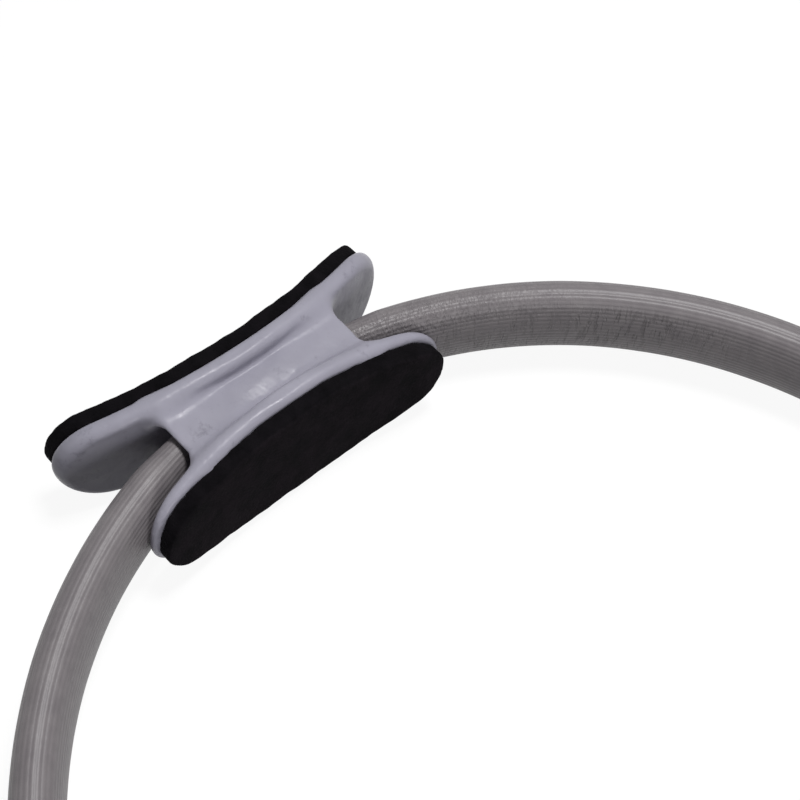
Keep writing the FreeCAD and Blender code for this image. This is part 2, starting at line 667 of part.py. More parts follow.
def hoop():
    """The links of both sides, counted from handle a. The right side is the left one half a turn round."""
    links = []
    for step in range(LINKS_PER_SIDE):
        last = step == LINKS_PER_SIDE - 1
        for side, start, place in (("left", "0 deg", step + 1), ("right", "180 deg", LINKS_PER_SIDE - step)):
            turn = f"{start} + {MOUTH_ANGLE} + {step} * {LINK_ANGLE}"
            for kind, section in (("sleeve", sleeve_section), ("strip", strip_section)):
                links.append(link(f"{kind}_{side}_{place}", turn, section, last))
    return links


pieces = [piece for name, turn in HANDLES.items() for piece in handle(name, turn)] + hoop()
doc.recompute()

# nothing is written unless every object is sound
for item in doc.Objects:
    if "Invalid" in item.State or "Error" in item.State:
        raise RuntimeError(f"{item.Label}: {item.State} {item.getStatusString()}")
for piece in pieces:
    if piece.Shape.isNull() or not piece.Shape.isValid():
        raise RuntimeError(f"{piece.Label}: no sound shape")
os.makedirs("parts", exist_ok=True)
for piece in pieces:
    piece.Shape.exportStep(f"parts/{piece.Label}.step")
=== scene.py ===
import math

import bmesh
import bpy
import numpy as np
import openvdb
from mathutils import Matrix, Vector


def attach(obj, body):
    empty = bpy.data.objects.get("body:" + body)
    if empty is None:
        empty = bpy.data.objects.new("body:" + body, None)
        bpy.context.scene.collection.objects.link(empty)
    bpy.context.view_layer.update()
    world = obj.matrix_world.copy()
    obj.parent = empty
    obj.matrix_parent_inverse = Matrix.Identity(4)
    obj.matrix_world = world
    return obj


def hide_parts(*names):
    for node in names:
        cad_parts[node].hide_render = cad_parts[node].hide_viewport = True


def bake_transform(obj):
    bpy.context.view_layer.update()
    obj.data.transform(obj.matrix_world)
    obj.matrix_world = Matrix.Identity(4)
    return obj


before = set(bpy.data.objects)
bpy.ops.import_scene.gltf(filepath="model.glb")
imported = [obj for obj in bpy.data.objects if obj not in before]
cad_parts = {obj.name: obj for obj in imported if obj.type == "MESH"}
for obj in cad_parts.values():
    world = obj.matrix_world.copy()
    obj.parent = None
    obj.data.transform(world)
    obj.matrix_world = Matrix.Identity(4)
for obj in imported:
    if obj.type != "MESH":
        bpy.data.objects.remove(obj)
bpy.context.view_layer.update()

# The ring lies flat with its axis along Z. Handle a stands at +X and handle b is half a turn round.
# Sizes are millimetres, the same as in the part's source, and a handle is drawn about its place on the
# hoop: out from the sleeve's middle, along the handle, and up.
MM = 0.001
RING_RADIUS = 180.0
MOUTH_OFFSET = 39.0
MOUTH_X = math.sqrt(RING_RADIUS**2 - MOUTH_OFFSET**2)
MOUTH_ANGLE = math.asin(MOUTH_OFFSET / RING_RADIUS)
REST_HALF_HEIGHT = 24.7

# The sleeve runs a little into each mouth, and the two stretches of a side overlap by a hair, which closes
# the seam between them
SLEEVE_HALF_HEIGHT, SLEEVE_HALF_WIDTH, SLEEVE_END_RADIUS = 15.9, 8.7, 7.4
SLEEVE_OVERRUN, SLEEVE_LAP = 5.0, 0.03
SLEEVE_STEPS, SECTION_POINTS = 190, 90
BORE_HALF_HEIGHT, BORE_HALF_WIDTH, BORE_END_RADIUS, BORE_POINTS = 11.7, 3.3, 2.7, 8
RIBS, POINTS_PER_RIB, RIB_DEPTH = 44, 6, 0.14
NECK_DEPTH, NECK_LENGTH = 0.9, 16.0
UNEVENNESS, PATCH_SIZE, PATCH_SEED = 0.5, 50.0, 9.0
# Two places round the section, each with how far its marks are full and how far they reach: the inner side,
# where the foam creases, and the corner above it, where the marks are finer
INNER_SIDE, INNER_SIDE_FULL, INNER_SIDE_REACH = 51.0, 7.0, 15.0
UPPER_CORNER, UPPER_CORNER_FULL, UPPER_CORNER_REACH = 67.0, 5.0, 10.0

# A handle has one flange outside the hoop, one inside it, and a collar between them. It parts at SPLIT
FLANGE_HALF_WIDTH, FLANGE_THICKNESS = 25.0, 7.5
OUTER = dict(side=1, seat=11.7, half_length=74.0, end_radius=20.0, face_radius=189.0, tip_thickness=8.0)
INNER = dict(side=-1, seat=20.0, half_length=66.0, end_radius=19.0, face_radius=370.0, tip_thickness=3.4)
SPLIT = (OUTER["seat"] - INNER["seat"]) / 2
RIM_ROUNDING, LEAST_RIM_ROUNDING, RIM_SHARE = 3.4, 0.8, 0.47
LIP, MOUTH_EDGE, SEAT_COVER = 1.6, 0.6, 1.0
OUTER_CREASE, INNER_CREASE, MOUTH_CREASE = 1.8, 5.6, 6.6
CREASES_WIDEN_FROM, CREASES_WIDEN_TO = 10.0, MOUTH_OFFSET - 2.0
COLLAR_HALF_HEIGHT, CROWN_OUT, WAIST_CROWN, MOUTH_CROWN = 18.4, 0.6, 24.0, 75.0
CROWN_FLATTENS_FROM, CROWN_FLATTENS_TO = 5.0, 19.0
SOCKET_RADIUS, SOCKET_HALF_HEIGHT, ARCH_ROUNDING = 10.6, 16.5, 5.0
CHANNEL_HALF_WIDTH, CHANNEL_HALF_HEIGHT = 1.65, 10.15
SPLICE_FROM, SPLICE_TO, SPLICE_HALF_HEIGHT, SPLICE_HALF_LENGTH = -4.25, 3.0, 8.5, 18.6
SCREW_ALONG, SCREW_UP, SCREW_HOLE, SCREW_SINK, SCREW_SEAT, SCREW_END = 20.0, 14.4, 1.7, 3.4, -16.8, 4.4
PAD_INSET, PAD_THICKNESS, PAD_EDGE, GLUE_LINE = 1.8, 7.0, 2.2, 0.15
# The pads' waves swing to both sides, so the pads are drawn smaller by this much
PAD_SHRINK = 0.3
# A pad's surface counts as its front by how much it looks out of the hoop or into it: not at all up to this
# share, and fully a band above it. The front is painted paler than the cut edge, which is painted light
FRONT_FROM, FRONT_BAND = 0.55, 0.35
# The sample grids. The shell's starts a whole number of steps from the parting plane, for a clean cut
SHELL_STEP, SHELL_STEPS_INWARDS, SHELL_ROOM = 0.65, 37, (29.0, 76.0, 26.5)
PAD_STEP, OUTER_PAD_ROOM, INNER_PAD_ROOM = 0.75, (8.0, 32.0), (-31.0, -15.0)
CUT_TOLERANCE = 1e-7

# The photograph's own axes: x to the right, y away and z up, in metres, with handle a at this angle
PHOTO_TURN = math.radians(134.91)
PHOTO_WIDTH = 800
LAMP_AIM = (-0.1, 0.12, 0.0)
AMBIENT = 0.035
FLOOR_GLOW, FLOOR_HALF_SIDE = 0.92, 4.0


def srgb(code):
    """An sRGB hex colour as the linear RGBA that the shaders take."""
    parts = [int(code[i:i + 2], 16) / 255 for i in (0, 2, 4)]
    return [c / 12.92 if c <= 0.04045 else ((c + 0.055) / 1.055) ** 2.4 for c in parts] + [1.0]


def per_metre(size):
    """The scale of a pattern whose marks are this many millimetres apart."""
    return 1 / (size * MM)


def add(tree, kind, inputs=None, **settings):
    """One node with its settings. An input takes a value, a socket, or a node whose first output feeds it."""
    node = tree.nodes.new(kind)
    for name, value in settings.items():
        setattr(node, name, value)
    for key, value in (inputs or {}).items():
        if isinstance(value, bpy.types.Node):
            value = next(socket for socket in value.outputs if socket.enabled)
        if isinstance(value, bpy.types.NodeSocket):
            tree.links.new(value, node.inputs[key])
        else:
            node.inputs[key].default_value = value
    return node


def new_material(name):
    """A material with an empty node tree, and that tree."""
    material = bpy.data.materials.new(name)
    material.use_nodes = True
    material.node_tree.nodes.clear()
    return material, material.node_tree


# Materials

def moulded_abs():
    """Injection-moulded ABS, pale lavender grey: a half gloss broken by sink marks, flow marks and scuffs."""
    material, tree = new_material("moulded_abs_grey")
    place = add(tree, "ShaderNodeTexCoord").outputs["Object"]
    # flow marks are about 26 mm long
    flow = add(
        tree, "ShaderNodeTexNoise",
        {"Vector": place, "Scale": per_metre(26.3), "Detail": 3.0, "Roughness": 0.55},
    )
    flow = add(tree, "ShaderNodeMapRange", {"Value": flow, "From Min": 0.3, "From Max": 0.7})
    tint = add(tree, "ShaderNodeMix", {0: flow, 6: srgb("9C9AA7"), 7: srgb("A7A5B2")}, data_type="RGBA")
    # scuffs are dull, dark specks up to 5 mm long and about 10 mm apart
    scuff = add(
        tree, "ShaderNodeTexNoise",
        {"Vector": place, "Scale": per_metre(10.53), "Detail": 6.0, "Roughness": 0.7},
    )
    marks = add(
        tree, "ShaderNodeMapRange",
        {"Value": scuff, "From Min": 0.59, "From Max": 0.72, "To Min": 0.0, "To Max": 0.6},
    )
    colour = add(tree, "ShaderNodeMix", {0: marks, 6: tint, 7: srgb("6E6C78")}, data_type="RGBA")
    gloss = add(
        tree, "ShaderNodeMapRange",
        {"Value": scuff, "From Min": 0.35, "From Max": 0.65, "To Min": 0.23, "To Max": 0.46},
    )
    # sink marks about 7 mm across and a grain of about 1 mm break the shine up
    sinks = add(tree, "ShaderNodeTexNoise", {"Vector": place, "Scale": per_metre(6.67), "Detail": 2.0})
    sinks = add(tree, "ShaderNodeBump", {"Height": sinks, "Strength": 0.7, "Distance": 0.6 * MM})
    grain = add(tree, "ShaderNodeTexNoise", {"Vector": place, "Scale": per_metre(1.11), "Detail": 2.0})
    bump = add(
        tree, "ShaderNodeBump", {"Height": grain, "Strength": 0.06, "Distance": 0.3 * MM, "Normal": sinks}
    )
    shader = add(
        tree, "ShaderNodeBsdfPrincipled",
        {"Base Color": colour, "Roughness": gloss, "Specular IOR Level": 0.18, "Normal": bump},
    )
    add(tree, "ShaderNodeOutputMaterial", {"Surface": shader})
    return material


def pad_foam():
    """Die-cut closed-cell EVA foam, black: dead matt with fine cells, its front painted paler than its cut
    edge as painted light.
    """
    material, tree = new_material("eva_foam_black")
    place = add(tree, "ShaderNodeTexCoord").outputs["Object"]
    # cells of the foam are about 0.3 mm and are drawn at 0.9 mm so that they show
    cells = add(tree, "ShaderNodeTexVoronoi", {"Vector": place, "Scale": per_metre(0.91), "Randomness": 1.0})
    # a dusty mottle about 8 mm across
    mottle = add(
        tree, "ShaderNodeTexNoise",
        {"Vector": place, "Scale": per_metre(7.7), "Detail": 5.0, "Roughness": 0.65},
    )
    dust = add(tree, "ShaderNodeMapRange", {"Value": mottle, "From Min": 0.35, "From Max": 0.65})
    # painted light: the front, marked by the face attribute, is painted paler than the cut edge
    edge = add(tree, "ShaderNodeMix", {0: dust, 6: srgb("0B0A0C"), 7: srgb("151316")}, data_type="RGBA")
    skin = add(tree, "ShaderNodeMix", {0: dust, 6: srgb("131214"), 7: srgb("221E22")}, data_type="RGBA")
    face = add(tree, "ShaderNodeAttribute", attribute_name="face").outputs["Fac"]
    colour = add(tree, "ShaderNodeMix", {0: face, 6: edge, 7: skin}, data_type="RGBA")
    height = add(tree, "ShaderNodeMath", {0: cells, 1: mottle}, operation="ADD")
    bump = add(tree, "ShaderNodeBump", {"Height": height, "Strength": 0.35, "Distance": 0.6 * MM})
    shader = add(
        tree, "ShaderNodeBsdfPrincipled",
        {"Base Color": colour, "Roughness": 0.95, "Specular IOR Level": 0.05, "Normal": bump},
    )
    add(tree, "ShaderNodeOutputMaterial", {"Surface": shader})
    return material


def sleeve_foam():
    """Extruded NBR foam with a skin, warm grey: a dull shine, ribs darker in their valleys from dust and
    painted shade, and fine creases across them painted darker as shade.
    """
    material, tree = new_material("nbr_foam_grey")
    place = add(tree, "ShaderNodeTexCoord").outputs["Object"]
    crest, along, around, slack, stretched = (
        add(tree, "ShaderNodeAttribute", attribute_name=name).outputs["Fac"]
        for name in ("crest", "along", "around", "slack", "stretched")
    )
    # a mottle about 6 mm across, and the ribs' valleys darker than their crests: dust there, and painted
    # shade
    mottle = add(
        tree, "ShaderNodeTexNoise",
        {"Vector": place, "Scale": per_metre(6.25), "Detail": 5.0, "Roughness": 0.6},
    )
    dust_and_valley_shade = add(tree, "ShaderNodeMath", {0: crest, 1: 0.16, 2: mottle}, operation="MULTIPLY_ADD")
    dust_and_valley_shade = add(tree, "ShaderNodeMapRange", {"Value": dust_and_valley_shade, "From Min": 0.35, "From Max": 0.85})
    colour = add(tree, "ShaderNodeMix", {0: dust_and_valley_shade, 6: srgb("757073"), 7: srgb("868183")}, data_type="RGBA")
    # creases cross the ribs, 1.6 mm apart and about 9 mm long; finer marks are 1.1 mm apart and 3 mm long
    marks = []
    for apart, length, low, high in ((1.613, 8.7, 0.5, 0.64), (1.11, 3.03, 0.46, 0.58)):
        across = add(tree, "ShaderNodeCombineXYZ", {
            0: add(tree, "ShaderNodeMath", {0: along, 1: per_metre(apart)}, operation="MULTIPLY"),
            1: add(tree, "ShaderNodeMath", {0: around, 1: per_metre(length)}, operation="MULTIPLY"),
        })
        lines = add(
            tree, "ShaderNodeTexNoise",
            {"Vector": across, "Scale": 1.0, "Detail": 2.0, "Roughness": 0.55, "Distortion": 0.4},
        )
        marks.append(add(tree, "ShaderNodeMapRange", {"Value": lines, "From Min": low, "From Max": high}))
    crease = add(tree, "ShaderNodeMath", {0: marks[0], 1: slack}, operation="MULTIPLY")
    fine = add(tree, "ShaderNodeMath", {0: marks[1], 1: stretched}, operation="MULTIPLY")
    crease = add(tree, "ShaderNodeMath", {0: fine, 1: 0.42, 2: crease}, operation="MULTIPLY_ADD")
    # painted shade: the creases and the finer marks are painted darker, towards 4A4648
    crease_shade = add(tree, "ShaderNodeMath", {0: crease, 1: 0.4}, operation="MULTIPLY", use_clamp=True)
    colour = add(tree, "ShaderNodeMix", {0: crease_shade, 6: colour, 7: srgb("4A4648")}, data_type="RGBA")
    # the foam's skin has a grain of about 0.7 mm
    grain = add(tree, "ShaderNodeTexNoise", {"Vector": place, "Scale": per_metre(0.667), "Detail": 3.0})
    skin = add(tree, "ShaderNodeBump", {"Height": grain, "Strength": 0.2, "Distance": 0.3 * MM})
    bump = add(
        tree, "ShaderNodeBump",
        {"Height": crease, "Strength": 0.8, "Distance": 0.5 * MM, "Normal": skin}, invert=True,
    )
    shader = add(
        tree, "ShaderNodeBsdfPrincipled",
        {"Base Color": colour, "Roughness": 0.39, "Specular IOR Level": 0.31, "Normal": bump},
    )
    add(tree, "ShaderNodeOutputMaterial", {"Surface": shader})
    return material


def glass_fibre():
    """Pultruded glass-fibre strip: straw-coloured resin with fine fibres along it."""
    material, tree = new_material("pultruded_glass_fibre")
    place = add(tree, "ShaderNodeTexCoord").outputs["Object"]
    # bundles of fibre are about 0.6 mm high and run along the strip, 30 times as long
    along = add(tree, "ShaderNodeMapping", {"Vector": place, "Scale": (1.0, 1.0, 30.0)})
    fibre = add(tree, "ShaderNodeTexNoise", {"Vector": along, "Scale": per_metre(16.7), "Detail": 4.0})
    shade = add(tree, "ShaderNodeMapRange", {"Value": fibre, "From Min": 0.35, "From Max": 0.65})
    colour = add(tree, "ShaderNodeMix", {0: shade, 6: srgb("B9B08C"), 7: srgb("D2CAA8")}, data_type="RGBA")
    shader = add(tree, "ShaderNodeBsdfPrincipled", {"Base Color": colour, "Roughness": 0.4, "IOR": 1.55})
    add(tree, "ShaderNodeOutputMaterial", {"Surface": shader})
    return material


def zinc_steel():
    """Zinc-plated steel: bright grey metal with a soft, slightly blotched gloss."""
    material, tree = new_material("zinc_plated_steel")
    place = add(tree, "ShaderNodeTexCoord").outputs["Object"]
    # blotches of the plating are about 2.5 mm across
    blotch = add(tree, "ShaderNodeTexNoise", {"Vector": place, "Scale": per_metre(2.5), "Detail": 3.0})
    shade = add(tree, "ShaderNodeMapRange", {"Value": blotch, "From Min": 0.3, "From Max": 0.7})
    colour = add(tree, "ShaderNodeMix", {0: shade, 6: srgb("B4B6BA"), 7: srgb("CDCFD2")}, data_type="RGBA")
    gloss = add(tree, "ShaderNodeMapRange", {"Value": blotch, "To Min": 0.25, "To Max": 0.4})
    shader = add(
        tree, "ShaderNodeBsdfPrincipled", {"Base Color": colour, "Roughness": gloss, "Metallic": 1.0}
    )
    add(tree, "ShaderNodeOutputMaterial", {"Surface": shader})
    return material


ABS = moulded_abs()
PAD_FOAM = pad_foam()
SLEEVE_FOAM = sleeve_foam()
GLASS_FIBRE = glass_fibre()
STEEL = zinc_steel()


# Moulded shells and foam pads, drawn as distance fields in millimetres

def both(a, b, radius):
    """What lies in both shapes, with the edge between them rounded."""
    corner = np.hypot(np.maximum(a + radius, 0), np.maximum(b + radius, 0))
    return np.minimum(np.maximum(a, b), -radius) + corner


def joined(a, b, radius):
    """Both shapes together, with a fillet between them."""
    corner = np.hypot(np.maximum(radius - a, 0), np.maximum(radius - b, 0))
    return np.maximum(np.minimum(a, b), radius) - corner


def eased(value, start, end):
    """From 0 at start to 1 at end, without corners."""
    share = np.clip((value - start) / (end - start), 0, 1)
    return share * share * (3 - 2 * share)


def oval_field(along, up, half_long, half_short, end_radius):
    """Distance to an oval of two end arcs and two wide side arcs."""
    end_centre = half_long - end_radius
    side_radius = (half_short**2 + end_centre**2 - end_radius**2) / (2 * (half_short - end_radius))
    side_centre = side_radius - half_short
    along, up = np.abs(along), np.abs(up)
    at_end = np.hypot(along - end_centre, up) - end_radius
    at_side = np.hypot(along, up + side_centre) - side_radius
    return np.where(along * side_centre > end_centre * (up + side_centre), at_end, at_side)


def hollow(out, along, start, radius):
    """How deep a point lies in a round hollow that opens outwards from start at the handle's middle."""
    return radius - np.hypot(out - start - radius, along)


class Grid:
    """Sample points round a handle."""

    def __init__(self, low, high, step):
        self.low, self.step = np.array(low, float), step
        axes = [np.arange(a, b + step, step, dtype=np.float32) for a, b in zip(low, high)]
        self.out, self.along, self.up = np.meshgrid(*axes, indexing="ij")

    def surface(self, field):
        """A closed, smooth-shaded surface of the field, in metres about the hoop's centre."""
        # the field is cut off four steps from its surface
        band = 4.0 * self.step
        volume = openvdb.FloatGrid(band)
        volume.copyFromArray(np.ascontiguousarray(np.clip(field, -band, band), np.float32))
        points, quads = volume.convertToQuads(isovalue=0.0)
        points = (points * self.step + self.low + (RING_RADIUS, 0, 0)) * MM
        mesh = bpy.data.meshes.new("surface")
        mesh.from_pydata(points.tolist(), [], quads.tolist())
        work = bmesh.new()
        work.from_mesh(mesh)
        bpy.data.meshes.remove(mesh)
        if work.calc_volume(signed=True) < 0:
            bmesh.ops.reverse_faces(work, faces=work.faces)
        for face in work.faces:
            face.smooth = True
        return work


def flange_field(grid, form):
    """A hollow oval flange, thinner towards its ends, with a round rim."""
    out = grid.out * form["side"]
    face, half = form["face_radius"], form["half_length"]
    bow = FLANGE_THICKNESS + face - math.sqrt(face**2 - half**2) - form["tip_thickness"]
    past_seat = hollow(out, grid.along, form["seat"], face)
    past_back = -hollow(out, grid.along, form["seat"] - FLANGE_THICKNESS, (half**2 + bow**2) / (2 * bow))
    rim = oval_field(grid.along, grid.up, half, FLANGE_HALF_WIDTH, form["end_radius"])
    rounding = np.clip(-RIM_SHARE * (past_seat + past_back), LEAST_RIM_ROUNDING, RIM_ROUNDING)
    return both(np.maximum(past_seat, past_back), rim, rounding), past_seat


def shell_field(grid):
    """Both flanges and the waist collar in one, with the room inside for links, strip, splice and screws."""
    out, along, up = grid.out, np.abs(grid.along), np.abs(grid.up)
    outer, past_outer = flange_field(grid, OUTER)
    inner, past_inner = flange_field(grid, INNER)
    # the collar is crowned at the waist and nearly flat at the mouths
    flattened = eased(along, CROWN_FLATTENS_FROM, CROWN_FLATTENS_TO)
    crown_radius = 1 / (1 / WAIST_CROWN + (1 / MOUTH_CROWN - 1 / WAIST_CROWN) * flattened)
    crown = np.hypot(out - CROWN_OUT, up + crown_radius - COLLAR_HALF_HEIGHT) - crown_radius
    collar = both(crown, along - MOUTH_OFFSET, LIP)
    # the mouth is a hollow from flange to flange, and the creases turn its roof into an arch
    mouth = both(up - SOCKET_HALF_HEIGHT, MOUTH_OFFSET - SOCKET_RADIUS - along, ARCH_ROUNDING)
    collar = both(collar, -mouth, MOUTH_EDGE)
    collar = np.maximum(collar, np.maximum(past_outer, past_inner) + SEAT_COVER)
    # the creases are tight at the waist and open into wide coves at the mouths
    spread = eased(along, CREASES_WIDEN_FROM, CREASES_WIDEN_TO)
    shell = joined(collar, outer, OUTER_CREASE + (MOUTH_CREASE - OUTER_CREASE) * spread)
    shell = joined(shell, inner, INNER_CREASE + (MOUTH_CREASE - INNER_CREASE) * spread)

    socket = np.hypot(out + RING_RADIUS - MOUTH_X, along - MOUTH_OFFSET) - SOCKET_RADIUS
    socket = both(socket, up - SOCKET_HALF_HEIGHT, ARCH_ROUNDING)
    from_hoop = np.hypot(out + RING_RADIUS, along) - RING_RADIUS
    channel = np.maximum(np.abs(from_hoop) - CHANNEL_HALF_WIDTH, up - CHANNEL_HALF_HEIGHT)
    channel = np.maximum(channel, along - MOUTH_OFFSET)
    splice = np.maximum(SPLICE_FROM - from_hoop, from_hoop - SPLICE_TO)
    splice = np.maximum(splice, np.maximum(up - SPLICE_HALF_HEIGHT, along - SPLICE_HALF_LENGTH))
    from_screw = np.hypot(along - SCREW_ALONG, up - SCREW_UP)
    screw = np.maximum(from_screw - SCREW_HOLE, out - SCREW_END)
    sink = np.maximum(from_screw - SCREW_SINK, out - SCREW_SEAT)
    for room in (socket, channel, splice, screw, sink):
        shell = np.maximum(shell, -room)
    return np.maximum(shell, up - REST_HALF_HEIGHT)


def ripple(a, b, waves):
    """A small, fixed unevenness: a sum of slow waves (reach, per millimetre of a and of b, phase)."""
    return sum(reach * np.sin(ka * a + kb * b + phase) for reach, ka, kb, phase in waves)


EDGE_WAVES = [
    (0.22, 0.21, 0.05, 0.4), (0.2, -0.13, 0.27, 1.9), (0.16, 0.43, 0.31, 4.1), (0.1, 0.9, -0.5, 2.2),
]
FACE_WAVES = [(0.12, 0.11, 0.17, 0.9), (0.1, -0.23, 0.13, 3.3), (0.07, 0.31, -0.29, 5.0)]


def pad_field(grid, form):
    """A foam pad cut a little unevenly by hand, glued to its seat and soft at its front edge."""
    out = grid.out * form["side"]
    start, radius = form["seat"] + GLUE_LINE, form["face_radius"] - GLUE_LINE
    behind = -hollow(out, grid.along, start, radius)
    front = hollow(out, grid.along, start + PAD_THICKNESS, radius - PAD_THICKNESS)
    front = front + PAD_SHRINK + ripple(grid.along, grid.up, FACE_WAVES)
    rim = oval_field(
        grid.along, grid.up, form["half_length"] - PAD_INSET, FLANGE_HALF_WIDTH - PAD_INSET,
        form["end_radius"] - PAD_INSET,
    )
    rim = rim + PAD_SHRINK + ripple(grid.along, grid.up, EDGE_WAVES)
    return np.maximum(both(front, rim, PAD_EDGE), behind)


def new_object(name, work, material, turned=False):
    """A finished object of a bmesh, on handle a or turned half round onto handle b."""
    mesh = bpy.data.meshes.new(name)
    work.to_mesh(mesh)
    if turned:
        mesh.transform(Matrix.Rotation(math.pi, 4, "Z"))
    mesh.materials.append(material)
    obj = bpy.data.objects.new(name, mesh)
    bpy.context.scene.collection.objects.link(obj)
    return obj


def mark_painted_front(mesh):
    """Marks the pad's front, painted paler than its cut edge as painted light: 1 where the surface looks out
    of the hoop or in.
    """
    facing = [abs(vertex.normal.x) for vertex in mesh.vertices]
    mark = np.clip((np.array(facing) - FRONT_FROM) / FRONT_BAND, 0, 1)
    mesh.attributes.new("face", "FLOAT", "POINT").data.foreach_set("value", mark.astype(np.float32))


def half_of(work, keep_outer):
    """One moulding of a handle: the part on one side of the parting plane, closed there."""
    half = work.copy()
    bmesh.ops.bisect_plane(
        half, geom=half.verts[:] + half.edges[:] + half.faces[:], dist=CUT_TOLERANCE,
        plane_co=((RING_RADIUS + SPLIT) * MM, 0, 0), plane_no=(1, 0, 0),
        clear_inner=keep_outer, clear_outer=not keep_outer,
    )
    edges = [e for e in half.edges if e.is_boundary]
    for edge in edges:
        edge.smooth = False
    filled = bmesh.ops.triangle_fill(half, edges=edges, use_beauty=True)
    side = -1 if keep_outer else 1
    for face in filled["geom"]:
        if isinstance(face, bmesh.types.BMFace):
            face.normal_update()
            if face.normal.x * side < 0:
                face.normal_flip()
            face.smooth = False
    return half


def handles():
    """Two mouldings and two pads for each handle."""
    _, half_long, half_high = SHELL_ROOM
    grid = Grid((SPLIT - SHELL_STEPS_INWARDS * SHELL_STEP, -half_long, -half_high), SHELL_ROOM, SHELL_STEP)
    whole = grid.surface(shell_field(grid))
    mouldings = {"outer": half_of(whole, True), "inner": half_of(whole, False)}
    pads = {}
    half_long, half_high = OUTER["half_length"], FLANGE_HALF_WIDTH
    for name, form, (low, high) in (("outer", OUTER, OUTER_PAD_ROOM), ("inner", INNER, INNER_PAD_ROOM)):
        grid = Grid((low, -half_long, -half_high), (high, half_long, half_high), PAD_STEP)
        pads[name] = grid.surface(pad_field(grid, form))
    for handle, turned in (("a", False), ("b", True)):
        body = f"handle_{handle}"
        for name in ("outer", "inner"):
            moulding = new_object(f"{name}_moulding_{handle}", mouldings[name], ABS, turned)
            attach(moulding, body)
            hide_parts(f"{name}_shell_{handle}")
            pad = new_object(f"{name}_foam_pad_{handle}", pads[name], PAD_FOAM, turned)
            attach(pad, body)
            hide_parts(f"{name}_pad_{handle}")
            mark_painted_front(pad.data)


# Foam sleeve, swept along the hoop by Geometry Nodes

